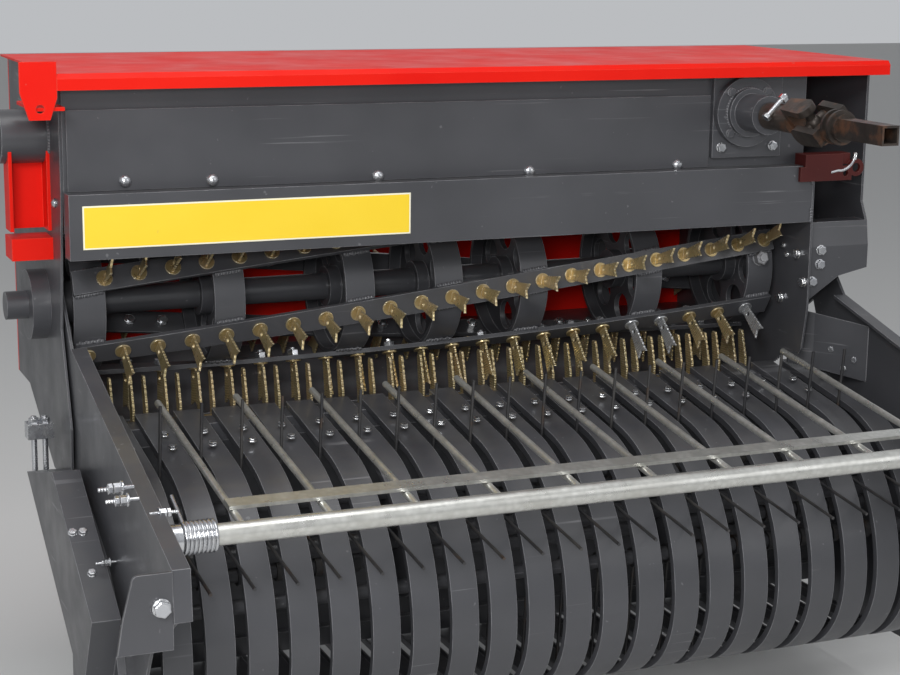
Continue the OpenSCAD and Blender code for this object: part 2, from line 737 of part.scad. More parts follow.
// Rods that run back from the tube over the bands
module guard_rods() color(galv) {
    rise = atan2(64, 489);
    for (i = [0 : rod_n - 1]) translate([rod_x0 + 2 * band_pitch * i, 0, 0]) difference() {
        translate([0, gy + 8, gz + 10]) rotate([rise - 90, 0, 0])
            cylinder(h = (rod_reach - 8) / cos(rise), r = rod_d / 2, $fn = 24);
        rod_x(-rod_d, rod_d, gy, gz, guard_d / 2);
    }
}

module guard_bar() color(galv)
    translate([0, gy + 46, gz + 10 + 38 * 64 / 489 + rod_d / 2 + 0.2])
        rotate([atan2(64, 489), 0, 0])
            translate([rod_x0 - 8, 0, 0]) cube([2 * band_pitch * (rod_n - 1) + 16, 30, 6]);

// A yoke in its own frame: pins along X, fork and hub towards +Y, hub of length len
module yoke(len) difference() {
    union() {
        for (x = [-ear_in - ear_t, ear_in]) sheet_x(x, ear_t) {
            circle(r = ear_r);
            polygon([[0, -ear_r], [0, ear_r], [fork_y1, ear_r - 4], [fork_y1, 4 - ear_r]]);
        }
        intersection() {
            box(-ear_in - ear_t, ear_in + ear_t, fork_y0, fork_y1, 4 - ear_r, ear_r - 4);
            rod_y(fork_y0, fork_y1, 0, 0, ear_in + ear_t);
        }
        rod_y(fork_y1, fork_y1 + len, 0, 0, yoke_r);
    }
    rod_x(-ear_in - ear_t - 1, ear_in + ear_t + 1, 0, 0, pin_r + run);
}

// Input shaft with its yoke
module input_yoke() color(wire) {
    hub = seat_y - hub_l - 3 - cy - fork_y1;
    translate([in_x, cy, in_z]) rotate([0, joint_a, 0]) yoke(hub);
    rod_y(cy + fork_y1 + 4, seat_y + 30, in_x, in_z, input_d / 2);
}

module joint_cross() color(zinc) translate([in_x, cy, in_z]) rotate([0, joint_a, 0]) {
    arm = ear_in + ear_t;
    rod_x(-arm, arm, 0, 0, pin_r);
    translate([0, 0, -arm]) cylinder(h = 2 * arm, r = pin_r);
    sphere(r = 15);
}

// Second yoke with its two collar rings and the square tube of the drive line
module outer_yoke() color(wire) {
    translate([in_x, cy, in_z]) {
        rotate([0, joint_a + 90, 0]) rotate([0, 0, 180]) yoke(40);
        for (y = [-70, -88]) rod_y(y, y + 6, 0, 0, yoke_r + 6);
        difference() {
            box(-tube_s / 2, tube_s / 2, -tube_l, -fork_y1 - 36, -tube_s / 2, tube_s / 2);
            box(4 - tube_s / 2, tube_s / 2 - 4, -tube_l - 1, -fork_y1 - 44,
                4 - tube_s / 2, tube_s / 2 - 4);
        }
    }
}

rear_wall();
side_sheet_left();
side_sheet_right();
front_panel();
channel_beam();
cover_plate();
label_plate();
top_hood();
comb_beam();
counter_knives();
floor_sheet();
bearing_plate();
input_hub();
rotor_bearing_left();
rotor_bearing_right();
hood_leg();
cross_tube();
shaft_rest();
rotor_shaft();
rotor_discs();
rotor_bars();
rotor_knives();
rotor_knives_bright();
pickup_side_left();
pickup_side_right();
top_rail();
bottom_rail();
stripper_bands();
rear_sheet();
deflector();
guard_pivots();
guard_spring();
side_bracket();
side_arm();
arm_clamp();
reel_shaft();
reel_discs();
tine_bars();
tines();
guard_tube();
guard_rods();
guard_bar();
input_yoke();
joint_cross();
outer_yoke();
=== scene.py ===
# %% [markdown]
# # Pick-up header with a chopping rotor
# The header was drawn and jointed in CAD. This notebook dresses it: it gives every
# painted, plated and galvanised surface its finish, adds the bolts, nuts, studs, weld
# beads and a small hook that a drawing leaves out, and lights it plainly.

# %% Load the CAD frame
import json
import math

import bpy
import bmesh
from mathutils import Matrix, Vector


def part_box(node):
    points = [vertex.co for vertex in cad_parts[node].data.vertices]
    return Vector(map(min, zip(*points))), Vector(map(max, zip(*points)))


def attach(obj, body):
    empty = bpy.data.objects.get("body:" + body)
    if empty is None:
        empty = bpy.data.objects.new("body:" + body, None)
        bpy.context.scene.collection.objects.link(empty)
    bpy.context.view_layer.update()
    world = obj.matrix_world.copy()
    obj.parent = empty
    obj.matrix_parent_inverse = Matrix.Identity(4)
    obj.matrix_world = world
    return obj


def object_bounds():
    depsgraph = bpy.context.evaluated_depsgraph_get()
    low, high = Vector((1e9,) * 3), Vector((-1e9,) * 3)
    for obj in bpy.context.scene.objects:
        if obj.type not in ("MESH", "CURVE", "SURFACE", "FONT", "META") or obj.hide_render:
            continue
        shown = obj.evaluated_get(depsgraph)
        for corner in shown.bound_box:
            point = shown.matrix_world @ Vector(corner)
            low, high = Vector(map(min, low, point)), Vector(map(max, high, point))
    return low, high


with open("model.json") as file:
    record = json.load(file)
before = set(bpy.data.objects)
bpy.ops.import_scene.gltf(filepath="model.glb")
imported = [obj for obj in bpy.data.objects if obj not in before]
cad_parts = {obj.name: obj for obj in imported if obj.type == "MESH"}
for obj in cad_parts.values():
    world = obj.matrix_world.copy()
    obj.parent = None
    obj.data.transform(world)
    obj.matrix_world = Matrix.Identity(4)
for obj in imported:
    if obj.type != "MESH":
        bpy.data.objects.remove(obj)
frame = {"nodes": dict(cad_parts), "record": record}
cad_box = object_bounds()
nodes = frame["nodes"]
print("CAD box", cad_box)

# %% [markdown]
# ## Camera
# The photograph was taken from the left front, a little above the rotor, with a long
# lens. Its place was worked out from the parallel rods, the tube and the even spacing of
# the tines, so the same place and lens are set here.

# %% Camera
YAW, PITCH, ROLL = math.radians(22.64), math.radians(11.93), math.radians(-0.68)
EYE = Vector((-1.326, -3.610, 0.641))
LENS = 75.56
SENSOR = 36


def camera_axes(yaw, pitch, roll):
    level = Vector((math.cos(yaw), -math.sin(yaw), 0))
    ahead = Vector((math.sin(yaw) * math.cos(pitch), math.cos(yaw) * math.cos(pitch),
                    -math.sin(pitch)))
    down = -level.cross(ahead)
    right = level * math.cos(roll) + down * math.sin(roll)
    return right, ahead


right, ahead = camera_axes(YAW, PITCH, ROLL)
up = right.cross(ahead)
lens = bpy.data.cameras.new("camera")
lens.lens = LENS
lens.sensor_width = SENSOR
camera = bpy.data.objects.new("camera", lens)
bpy.context.scene.collection.objects.link(camera)
camera.matrix_world = Matrix((
    (right.x, up.x, -ahead.x, EYE.x),
    (right.y, up.y, -ahead.y, EYE.y),
    (right.z, up.z, -ahead.z, EYE.z),
    (0, 0, 0, 1)))
bpy.context.scene.camera = camera
print("camera at", tuple(camera.location), "lens", LENS)

# %% [markdown]
# ## Light
# A large soft lamp from the left front does most of the work. A small one beside the
# camera, where a flash would be, reaches in under the beam to the rotor and glints on
# bolts and edges. A weak one fills from the right, and one from above picks out the
# upper edges of the bands.

# %% Lamps
def area_light(name, place, aim, power, size):
    lamp = bpy.data.lights.new(name, "AREA")
    lamp.energy = power
    lamp.size = size
    obj = bpy.data.objects.new(name, lamp)
    bpy.context.scene.collection.objects.link(obj)
    obj.location = place
    obj.rotation_euler = (Vector(aim) - Vector(place)).to_track_quat("-Z", "Y").to_euler()


area_light("key", place=(-2.6, -4.4, 2.6), aim=(0, -0.5, -0.1), power=107, size=1.3)
area_light("flash", place=(-1.5, -3.7, 0.85), aim=(-0.1, -0.4, -0.1), power=30, size=0.4)
area_light("fill", place=(3.5, -4.5, 2.0), aim=(0.2, -0.5, -0.1), power=32, size=3.0)
area_light("top", place=(0.0, -1.5, 4.0), aim=(0.0, -0.8, 0.0), power=70, size=2.5)

# %% [markdown]
# ### Sky
# The sky is brighter to the camera and to reflections than it is as a lamp, so metal
# shows the pale room and the paint keeps its colour. Light Path tells what kind of ray
# asks, and the larger of its three answers chooses the strength.

# %% Sky
SKY_COLOUR = (0.8, 0.82, 0.85, 1)
SKY_AS_LAMP = 0.32
SKY_AS_SEEN = 0.62

world = bpy.data.worlds.new("world")
bpy.context.scene.world = world
world.use_nodes = True
sky_tree = world.node_tree
sky = sky_tree.nodes["Background"]
sky.inputs["Color"].default_value = SKY_COLOUR
asked_by = sky_tree.nodes.new("ShaderNodeLightPath")
strength = sky_tree.nodes.new("ShaderNodeMapRange")
strength.inputs["To Min"].default_value = SKY_AS_LAMP
strength.inputs["To Max"].default_value = SKY_AS_SEEN
seen = asked_by.outputs["Is Camera Ray"]
for ray in ("Is Glossy Ray", "Is Transmission Ray"):
    either = sky_tree.nodes.new("ShaderNodeMath")
    either.operation = "MAXIMUM"
    sky_tree.links.new(seen, either.inputs[0])
    sky_tree.links.new(asked_by.outputs[ray], either.inputs[1])
    seen = either.outputs[0]
sky_tree.links.new(seen, strength.inputs["Value"])
sky_tree.links.new(strength.outputs["Result"], sky.inputs["Strength"])
bpy.context.scene.view_settings.view_transform = "Standard"
print("sky strength", SKY_AS_LAMP, "as a lamp,", SKY_AS_SEEN, "where it is seen")

# %% [markdown]
# ### Floor
# The header hangs from its baler, so the floor is a little below it and only takes its
# shadow.

# %% Floor
FLOOR_GAP = 0.12
FLOOR_SIZE = 40

floor_level = cad_box[0][2] - FLOOR_GAP
bpy.ops.object.select_all(action="DESELECT")
bpy.ops.mesh.primitive_plane_add(size=FLOOR_SIZE, location=(0, 0, floor_level))
floor = bpy.context.object
floor.name = "floor"
floor_finish = bpy.data.materials.new("floor")
floor_finish.use_nodes = True
floor_shader = floor_finish.node_tree.nodes["Principled BSDF"]
floor_shader.inputs["Base Color"].default_value = (0.75, 0.75, 0.74, 1)
floor_shader.inputs["Roughness"].default_value = 0.9
floor.data.materials.append(floor_finish)
print("floor at", round(floor_level, 3))

# %% [markdown]
# ## Finishes
# Each finish starts from one shader and a few textures on Object coordinates: large
# clouds for fading and dust, fine grain for the spray or the plating, and stretched noise
# for scratches. Helpers keep the wiring short, so each finish below reads as a recipe.

# %% Helpers that make a pattern
def finish_start(name, metallic, coat=0.0):
    finish = bpy.data.materials.new(name)
    finish.use_nodes = True
    tree = finish.node_tree
    shader = tree.nodes["Principled BSDF"]
    shader.inputs["Metallic"].default_value = metallic
    shader.inputs["Coat Weight"].default_value = coat
    return finish, tree, shader


def cloud(tree, scale, detail, stretch=(1, 1, 1), roughness=0.55):
    coords = tree.nodes.new("ShaderNodeTexCoord")
    place = tree.nodes.new("ShaderNodeMapping")
    place.inputs["Scale"].default_value = stretch
    noise = tree.nodes.new("ShaderNodeTexNoise")
    noise.inputs["Scale"].default_value = scale
    noise.inputs["Detail"].default_value = detail
    noise.inputs["Roughness"].default_value = roughness
    tree.links.new(coords.outputs["Object"], place.inputs["Vector"])
    tree.links.new(place.outputs["Vector"], noise.inputs["Vector"])
    return noise.outputs["Fac"]


def ramp(tree, value, begin, full, least=0.0, most=1.0):
    made = tree.nodes.new("ShaderNodeMapRange")
    made.inputs["From Min"].default_value = begin
    made.inputs["From Max"].default_value = full
    made.inputs["To Min"].default_value = least
    made.inputs["To Max"].default_value = most
    tree.links.new(value, made.inputs["Value"])
    return made.outputs["Result"]


def patches(tree, scale, detail, begin, full, least=0.0, most=1.0):
    return ramp(tree, cloud(tree, scale, detail), begin, full, least, most)


def place_of(tree):
    coords = tree.nodes.new("ShaderNodeTexCoord")
    parts = tree.nodes.new("ShaderNodeSeparateXYZ")
    tree.links.new(coords.outputs["Object"], parts.inputs[0])
    return parts.outputs


def facing_up(tree):
    geometry = tree.nodes.new("ShaderNodeNewGeometry")
    parts = tree.nodes.new("ShaderNodeSeparateXYZ")
    tree.links.new(geometry.outputs["Normal"], parts.inputs[0])
    return ramp(tree, parts.outputs["Z"], 0.25, 1.0)


print("pattern helpers ready")

# %% Helpers that put patterns together
def blend(tree, amount, first, second):
    made = tree.nodes.new("ShaderNodeMix")
    made.data_type = "RGBA"
    # The node has sockets for every data type: 6 and 7 in, and 2 out, are its colours.
    tree.links.new(amount, made.inputs[0])
    for socket, colour in ((made.inputs[6], first), (made.inputs[7], second)):
        if isinstance(colour, tuple):
            socket.default_value = colour + (1,)
        else:
            tree.links.new(colour, socket)
    return made.outputs[2]


def maths(tree, kind, first, second=0.0):
    made = tree.nodes.new("ShaderNodeMath")
    made.operation = kind
    for socket, value in zip(made.inputs, (first, second)):
        if isinstance(value, (int, float)):
            socket.default_value = value
        else:
            tree.links.new(value, socket)
    return made.outputs[0]


def relief(tree, shader, height, strength, distance, normal=None):
    made = tree.nodes.new("ShaderNodeBump")
    made.inputs["Strength"].default_value = strength
    made.inputs["Distance"].default_value = distance
    tree.links.new(height, made.inputs["Height"])
    if normal is not None:
        tree.links.new(normal, made.inputs["Normal"])
    tree.links.new(made.outputs["Normal"], shader.inputs["Normal"])


print("wiring helpers ready")

# %% [markdown]
# ### Edges
# A sheet's cut edge is never quite sharp. The Bevel node rounds the normal near an edge,
# which catches the light there without any new faces. Where that rounded normal and the
# true one no longer agree there is an edge, so the same node gives the edge mask, where
# the paint is worn and where a pale painted highlight is laid.

# %% Rounded edges
AGREE_NEAR_EDGE = 0.985
AGREE_ON_EDGE = 0.82


def rounded_edges(tree, radius):
    soft = tree.nodes.new("ShaderNodeBevel")
    soft.samples = 4
    soft.inputs["Radius"].default_value = radius
    geometry = tree.nodes.new("ShaderNodeNewGeometry")
    agree = tree.nodes.new("ShaderNodeVectorMath")
    agree.operation = "DOT_PRODUCT"
    tree.links.new(soft.outputs["Normal"], agree.inputs[0])
    tree.links.new(geometry.outputs["Normal"], agree.inputs[1])
    edge_wear_and_highlight_mask = ramp(tree, agree.outputs["Value"], AGREE_NEAR_EDGE, AGREE_ON_EDGE)
    return soft.outputs["Normal"], edge_wear_and_highlight_mask


print("edges are rounded for the light only")

# %% [markdown]
# ### Paint
# The dark grey frame paint is satin, a little dusty on top and scuffed in fine pale
# lines. The red paint is brighter and more even. All paints are one recipe with
# different colours: a base with slow clouds, dust where the surface faces up, scratches
# from noise stretched along the sheet, and small chips. Paint draws back from a cut edge,
# and a pale edge colour there is partly that wear and partly a painted highlight. One
# recipe keeps neighbouring plates from looking unrelated. The yellow plate has a pale
# border as well, measured inwards from the plate's own box.

# %% Paint recipe
PAINT_EDGE = 0.0018
ALONG_THE_SHEET = (0.35, 1, 26)


def border_of(tree, node, width):
    low_corner, high_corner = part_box(node)
    place = place_of(tree)
    near = []
    for axis, key in ((0, "X"), (2, "Z")):
        middle = (low_corner[axis] + high_corner[axis]) / 2
        half = (high_corner[axis] - low_corner[axis]) / 2
        off = maths(tree, "ABSOLUTE", maths(tree, "SUBTRACT", place[key], middle))
        near.append(maths(tree, "GREATER_THAN", off, half - width))
    return maths(tree, "MAXIMUM", near[0], near[1])


def paint(name, tone, faded, scuff, dust, edge_wear_and_highlight, gloss, coat=0.0, mirror=0.5, border=None):
    finish, tree, shader = finish_start(name, 0.0, coat)
    shader.inputs["Specular IOR Level"].default_value = mirror
    soft_normal, edge_wear_and_highlight_mask = rounded_edges(tree, PAINT_EDGE)
    body = blend(tree, patches(tree, 2.6, 6, 0.35, 0.68), tone, faded)
    settled = maths(tree, "MULTIPLY", facing_up(tree), patches(tree, 9, 6, 0.42, 0.75, 0.0, 0.55))
    body = blend(tree, settled, body, dust)
    scratches = ramp(tree, cloud(tree, 6, 2, ALONG_THE_SHEET), 0.66, 0.70)
    scratched = maths(tree, "MULTIPLY", scratches, patches(tree, 3.1, 3, 0.52, 0.62, 0.0, 0.7))
    body = blend(tree, scratched, body, scuff)
    chips = ramp(tree, cloud(tree, 78, 2, roughness=0.4), 0.745, 0.765, 0.0, 0.45)
    body = blend(tree, chips, body, scuff)
    if border is not None:
        node, width, colour = border
        body = blend(tree, border_of(tree, node, width), body, colour)
    # The pale edge colour lies on the edge mask: partly worn paint, partly a painted highlight
    # along the edge.
    worn_and_highlit = maths(tree, "MULTIPLY", edge_wear_and_highlight_mask, patches(tree, 21, 4, 0.36, 0.56, 0.35, 1.0))
    body = blend(tree, worn_and_highlit, body, edge_wear_and_highlight)
    tree.links.new(body, shader.inputs["Base Color"])
    rough = patches(tree, 11, 5, 0.3, 0.75, gloss, gloss + 0.2)
    tree.links.new(rough, shader.inputs["Roughness"])
    relief(tree, shader, cloud(tree, 420, 2), 0.10, 0.0005, soft_normal)
    return finish


print("paint recipe ready")

# %% Paints
# Each edge colour is paler than its paint: worn paint and a painted highlight on the edges.
grey_paint = paint(
    "grey paint", tone=(0.052, 0.053, 0.059), faded=(0.068, 0.069, 0.077),
    scuff=(0.21, 0.21, 0.22), dust=(0.098, 0.096, 0.092), edge_wear_and_highlight=(0.40, 0.40, 0.42),
    gloss=0.30, coat=0.08)
red_paint = paint(
    "red paint", tone=(0.74, 0.010, 0.006), faded=(0.82, 0.018, 0.009),
    scuff=(0.70, 0.08, 0.06), dust=(0.64, 0.03, 0.02), edge_wear_and_highlight=(0.92, 0.11, 0.07),
    gloss=0.30, mirror=0.08)
# Painted shade: the rest's red is darkened to stand for the shade it sits in.
shaded_red_paint = paint(
    "red paint with painted shade", tone=(0.085, 0.007, 0.006), faded=(0.055, 0.009, 0.008),
    scuff=(0.12, 0.04, 0.035), dust=(0.08, 0.04, 0.035), edge_wear_and_highlight=(0.16, 0.06, 0.05),
    gloss=0.42, mirror=0.3)
yellow_plate = paint(
    "yellow plate", tone=(0.93, 0.64, 0.030), faded=(0.97, 0.70, 0.045),
    scuff=(0.80, 0.55, 0.08), dust=(0.85, 0.62, 0.12), edge_wear_and_highlight=(0.98, 0.86, 0.40),
    gloss=0.30, coat=0.10, mirror=0.4,
    border=("label_plate", 0.0026, (0.90, 0.88, 0.72)))
print("paints", [p.name for p in (grey_paint, red_paint, shaded_red_paint, yellow_plate)])

# %% [markdown]
# ### Zinc plating
# Knives and comb are yellow-passivated: gold that drifts from patch to patch, with a pale
# edge colour that is partly wear and partly a painted highlight, and their faces are
# ribbed, with painted shade in the grooves. On the rotor a rib is a circle about the
# shaft, so the ribs come from the distance to that axis; on the comb they are level.
# Bolts, and a few of the knives, are bright zinc by the same recipe.

# %% Plating recipe
ROTOR_Y = -0.300
RIB_PITCH = 0.0046
PLATED_EDGE = 0.0012
PLAIN_METALLIC, RIBBED_METALLIC = 0.9, 0.72
PLAIN_DEPTH, RIBBED_DEPTH = 0.15, 0.45


def rib_wave(tree, ribs):
    place = place_of(tree)
    reach = place["Z"]
    if ribs == "round the rotor":
        back = maths(tree, "SUBTRACT", place["Y"], ROTOR_Y)
        reach = maths(tree, "ADD", maths(tree, "MULTIPLY", back, back),
                      maths(tree, "MULTIPLY", place["Z"], place["Z"]))
        reach = maths(tree, "POWER", reach, 0.5)
    return maths(tree, "SINE", maths(tree, "MULTIPLY", reach, 2 * math.pi / RIB_PITCH))


def plated(name, tones, edge_wear_and_highlight, rough, ribs=None, groove_shade=None):
    finish, tree, shader = finish_start(name, RIBBED_METALLIC if ribs else PLAIN_METALLIC)
    soft_normal, edge_wear_and_highlight_mask = rounded_edges(tree, PLATED_EDGE)
    body = blend(tree, patches(tree, 16, 4, 0.36, 0.64), tones[0], tones[1])
    body = blend(tree, patches(tree, 37, 3, 0.55, 0.75, 0.0, 0.8), body, tones[2])
    height = cloud(tree, 300, 2)
    if ribs:
        wave = rib_wave(tree, ribs)
        # Painted shade: the groove colour darkens the valleys between the ribs.
        body = blend(tree, ramp(tree, wave, -0.3, -0.9, 0.0, 0.55), body, groove_shade)
        height = maths(tree, "ADD", maths(tree, "MULTIPLY", wave, 0.5),
                       maths(tree, "MULTIPLY", height, 0.2))
    # The pale edge colour lies on the edge mask: partly worn plating, partly a painted highlight.
    body = blend(tree, edge_wear_and_highlight_mask, body, edge_wear_and_highlight)
    tree.links.new(body, shader.inputs["Base Color"])
    sheen = patches(tree, 45, 4, 0.3, 0.7, rough, rough + 0.20)
    tree.links.new(sheen, shader.inputs["Roughness"])
    relief(tree, shader, height, RIBBED_DEPTH if ribs else PLAIN_DEPTH, 0.0012, soft_normal)
    return finish


print("plating recipe ready, a rib every", RIB_PITCH, "m")

# %% Plated finishes
GOLD = ((0.72, 0.56, 0.30), (0.56, 0.47, 0.25), (0.84, 0.70, 0.50))
SILVER = ((0.56, 0.57, 0.59), (0.44, 0.45, 0.48), (0.70, 0.70, 0.69))
NEW_SILVER = ((0.70, 0.71, 0.72), (0.58, 0.59, 0.61), (0.80, 0.80, 0.79))
# Edge colours for the plating: worn pale and a painted highlight along the edges.
PALE_GOLD_WEAR_AND_HIGHLIGHT, WHITE_WEAR_AND_HIGHLIGHT = (0.96, 0.88, 0.70), (0.90, 0.90, 0.89)

# The last colour of a ribbed finish is painted shade in its grooves.
gold_knife = plated("yellow zinc, ribbed blades", GOLD, PALE_GOLD_WEAR_AND_HIGHLIGHT, 0.20,
                    "round the rotor", (0.26, 0.17, 0.06))
gold_comb = plated("yellow zinc, ribbed comb", GOLD, PALE_GOLD_WEAR_AND_HIGHLIGHT, 0.22,
                   "level", (0.24, 0.15, 0.05))
bright_knife = plated("bright zinc, ribbed blades", NEW_SILVER, WHITE_WEAR_AND_HIGHLIGHT, 0.20,
                      "round the rotor", (0.26, 0.27, 0.28))
bright_zinc = plated("bright zinc", SILVER, WHITE_WEAR_AND_HIGHLIGHT, 0.15)
print("plated", [p.name for p in (gold_knife, gold_comb, bright_knife, bright_zinc)])

# %% [markdown]
# ### Galvanised pipe and bare steel
# Galvanised pipe has a soft crystal pattern, which a Voronoi texture gives, and dull
# patches. Spring wire is nearly black, and the joints of the drive line are dark with
# grease and rust: one recipe, where the share of rust and the polish change.

# %% Galvanised pipe, spring wire and greasy joints
def galvanised_pipe():
    finish, tree, shader = finish_start("galvanised pipe", 0.75)
    coords = tree.nodes.new("ShaderNodeTexCoord")
    crystals = tree.nodes.new("ShaderNodeTexVoronoi")
    crystals.inputs["Scale"].default_value = 95
    tree.links.new(coords.outputs["Object"], crystals.inputs["Vector"])
    spangle = ramp(tree, crystals.outputs["Distance"], 0.0, 0.75)
    body = blend(tree, spangle, (0.66, 0.66, 0.63), (0.54, 0.54, 0.51))
    body = blend(tree, patches(tree, 7, 5, 0.52, 0.74, 0.0, 0.6), body, (0.45, 0.44, 0.40))
    tree.links.new(body, shader.inputs["Base Color"])
    tree.links.new(patches(tree, 30, 4, 0.3, 0.7, 0.24, 0.42), shader.inputs["Roughness"])
    relief(tree, shader, cloud(tree, 160, 3), 0.2, 0.0008)
    return finish


def worn_steel(name, tone, second, rust, rough, rust_share=0.0):
    finish, tree, shader = finish_start(name, 0.6)
    body = blend(tree, patches(tree, 8, 5, 0.38, 0.66), tone, second)
    rusted = patches(tree, 24, 6, 0.60 - rust_share, 0.74 - rust_share, 0.0, 0.9)
    body = blend(tree, rusted, body, rust)
    tree.links.new(body, shader.inputs["Base Color"])
    polish = patches(tree, 40, 4, 0.3, 0.7, rough, rough + 0.25)
    tree.links.new(polish, shader.inputs["Roughness"])
    relief(tree, shader, cloud(tree, 190, 4), 0.35, 0.0010)
    return finish


galvanised = galvanised_pipe()
spring_wire = worn_steel("spring wire", (0.050, 0.050, 0.054), (0.085, 0.082, 0.080),
                         (0.11, 0.07, 0.045), 0.34)
joint_steel = worn_steel("greased joint steel", (0.045, 0.038, 0.034), (0.10, 0.078, 0.064),
                         (0.17, 0.085, 0.050), 0.28, rust_share=0.08)
oiled_steel = worn_steel("oiled nut steel", (0.20, 0.20, 0.21), (0.30, 0.30, 0.31),
                         (0.36, 0.34, 0.31), 0.14)
print("bare metals", [p.name for p in (galvanised, spring_wire, joint_steel, oiled_steel)])

# %% [markdown]
# ### A finish for every drawn piece
# The CAD record names a material slot for each piece, so most finishes follow from it.
# A few pieces need their own: the comb's level ribs, the bright knives, the greasy
# joints, and the rest, whose red is darkened as painted shade.

# %% Give every CAD node its finish
SLOT_FINISH = {
    "grey_paint": grey_paint, "red_paint": red_paint, "yellow_zinc": gold_knife,
    "bright_zinc": bright_zinc, "galvanised": galvanised, "dark_steel": spring_wire,
    "yellow_plate": yellow_plate}
OWN_FINISH = {
    "counter_knives": gold_comb, "rotor_knives_bright": bright_knife,
    "input_yoke": joint_steel, "outer_yoke": joint_steel, "joint_cross": joint_steel,
    "shaft_rest": shaded_red_paint}
for part in frame["record"]["subparts"]:
    obj = nodes[part["node"]]
    finish = OWN_FINISH.get(part["node"], SLOT_FINISH[part["material_slot"]])
    if not obj.data.materials:
        obj.data.materials.append(finish)
    for slot in obj.material_slots:
        slot.material = finish

# %% [markdown]
# ## Fasteners
# Bolts and nuts repeat, so each kind is modelled once at the origin, pointing up, and
# copied to its places. A hexagon starts as a six-sided cylinder whose top is inset and
# raised for the chamfer; a washer is a short round one with its rim drawn in.

# %% Edit-mode helpers
def open_mesh(obj):
    bpy.ops.object.select_all(action="DESELECT")
    obj.select_set(True)
    bpy.context.view_layer.objects.active = obj
    bpy.ops.object.mode_set(mode="EDIT")
    bpy.ops.mesh.select_mode(type="FACE")
    bpy.ops.mesh.select_all(action="DESELECT")


def close_mesh():
    bpy.ops.object.mode_set(mode="OBJECT")


def pick(obj, test):
    mesh = bmesh.from_edit_mesh(obj.data)
    for face in mesh.faces:
        face.select_set(test(face))
    bmesh.update_edit_mesh(obj.data)


def on_top(face):
    return face.normal.z > 0.9


def inset_and_raise(inset, rise):
    bpy.ops.mesh.inset(thickness=inset)
    bpy.ops.transform.translate(value=(0, 0, rise))


print("edit-mode helpers ready")

# %% Start and join
def round_blank(sides, radius, height, lift=0.0):
    bpy.ops.object.select_all(action="DESELECT")
    bpy.ops.mesh.primitive_cylinder_add(vertices=sides, radius=radius, depth=height,
                                        location=(0, 0, lift + height / 2))
    bpy.ops.object.transform_apply(location=True, rotation=True, scale=True)
    return bpy.context.object


def chamfer_top(obj, inset, rise):
    open_mesh(obj)
    pick(obj, on_top)
    inset_and_raise(inset, rise)
    close_mesh()
    return obj


def join(pieces, name):
    bpy.ops.object.select_all(action="DESELECT")
    for piece in pieces:
        piece.select_set(True)
    bpy.context.view_layer.objects.active = pieces[0]
    bpy.ops.object.join()
    made = bpy.context.object
    made.name = name
    return made


print("blanks can be started, chamfered and joined")

# %% Hexagon, washer and button head
def hexagon(across_flats, height, lift=0.0):
    blank = round_blank(6, across_flats / math.sqrt(3), height, lift)
    return chamfer_top(blank, across_flats * 0.09, across_flats * 0.035)


def washer(width, height, lift=0.0):
    return chamfer_top(round_blank(20, width / 2, height, lift), width * 0.05, width * 0.02)


def button(width, height):
    blank = round_blank(24, width / 2, height * 0.35)
    open_mesh(blank)
    for inset, rise in ((0.10, 0.30), (0.14, 0.22), (0.14, 0.10)):
        # Only the flat top is large enough, so the rings of earlier rounds stay.
        pick(blank, lambda face: face.normal.z > 0.95 and face.calc_area() > width * width * 0.02)
        inset_and_raise(width * inset, height * rise)
    close_mesh()
    return blank


print("heads are chamfered in one inset and domed in three")

# %% Weld drop and threaded stud
THREADS = 11
THREAD_DEPTH = 0.86


def weld_bead(radius):
    bead = round_blank(10, radius, radius * 0.3)
    open_mesh(bead)
    for inset, rise in ((0.20, 0.28), (0.30, 0.14)):
        pick(bead, on_top)
        inset_and_raise(radius * inset, radius * rise)
    close_mesh()
    return bead


def threaded_stud(radius, length):
    blank = round_blank(10, radius, length * 0.55)
    step = length * 0.45 / THREADS
    for turn in range(THREADS):
        open_mesh(blank)
        pick(blank, on_top)
        bpy.ops.mesh.extrude_region_move(TRANSFORM_OT_translate={"value": (0, 0, step)})
        factor = THREAD_DEPTH if turn % 2 == 0 else 1 / THREAD_DEPTH
        bpy.ops.transform.resize(value=(factor, factor, 1))
        close_mesh()
    return blank


print("a stud has", THREADS, "steps of thread")

# %% Masters
# Sizes are in metres: a head's width and height, then how high up it starts.
M12_FLATS = 0.019

masters = {
    "bolt": join([washer(0.024, 0.0025), hexagon(M12_FLATS, 0.0075, 0.0025)], "bolt_master"),
    "nut": join([hexagon(M12_FLATS, 0.010), round_blank(12, 0.0058, 0.015)], "nut_master"),
    "button": button(0.021, 0.009),
    "stud": join([threaded_stud(0.0036, 0.054), washer(0.022, 0.0025, 0.017),
                  hexagon(0.015, 0.011, 0.020), hexagon(0.015, 0.006, 0.033)], "stud_master"),
    "clamp_bolt": join([round_blank(12, 0.0050, 0.058), hexagon(0.015, 0.007),
                        hexagon(0.015, 0.009, 0.046)], "clamp_master"),
    "big_nut": join([washer(0.034, 0.003), hexagon(0.027, 0.014, 0.003),
                     round_blank(16, 0.0085, 0.022)], "big_nut_master"),
    "bead": weld_bead(0.0042)}
for master in masters.values():
    master.hide_render = True
print("fastener faces", {key: len(m.data.polygons) for key, m in masters.items()})

# %% [markdown]
# ### Copies
# A copy gets its own mesh, which is turned and moved in place, so that the finished
# piece's object stays at the origin as the drawn ones do. All copies of one kind on one
# body are joined into one piece. A place is a point, the way the head points, a turn
# about that and a size.

# %% Copy a master to its places
TO_FRONT, TO_LEFT, TO_RIGHT = (0, -1, 0), (-1, 0, 0), (1, 0, 0)


